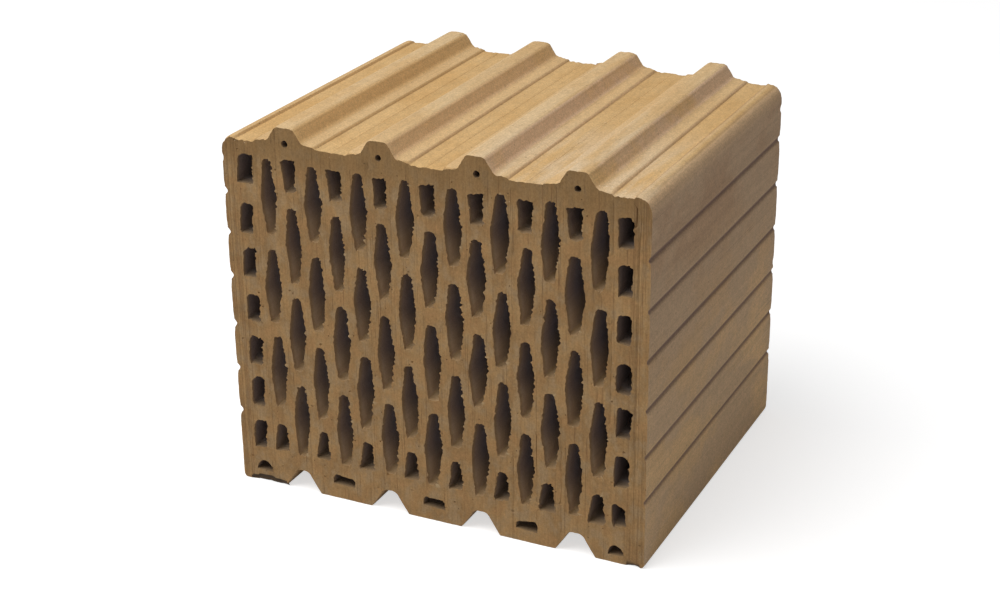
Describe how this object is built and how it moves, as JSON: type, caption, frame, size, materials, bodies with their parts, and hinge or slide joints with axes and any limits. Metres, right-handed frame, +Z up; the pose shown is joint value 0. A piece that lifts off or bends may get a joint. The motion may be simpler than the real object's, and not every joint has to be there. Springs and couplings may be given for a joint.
{
  "type": "hollow clay brick",
  "caption": "Perforated fired-clay wall block with staggered slender holes, tongues on one end face and matching grooves on the other.",
  "frame": {"origin": "middle of the footprint, on the floor, with the block lying on its grooved face", "axes": "+X through the wall from one grooved side face to the other, +Y along the perforations, +Z up from the grooves to the tongues"},
  "size_m": [0.3, 0.249, 0.2625],
  "materials": {
    "fired_clay": "matt fired clay, smooth on the extruded skin and torn on the wire-cut faces"
  },
  "bodies": {
    "root": {"brick": "fired_clay"}
  },
  "joints": []
}
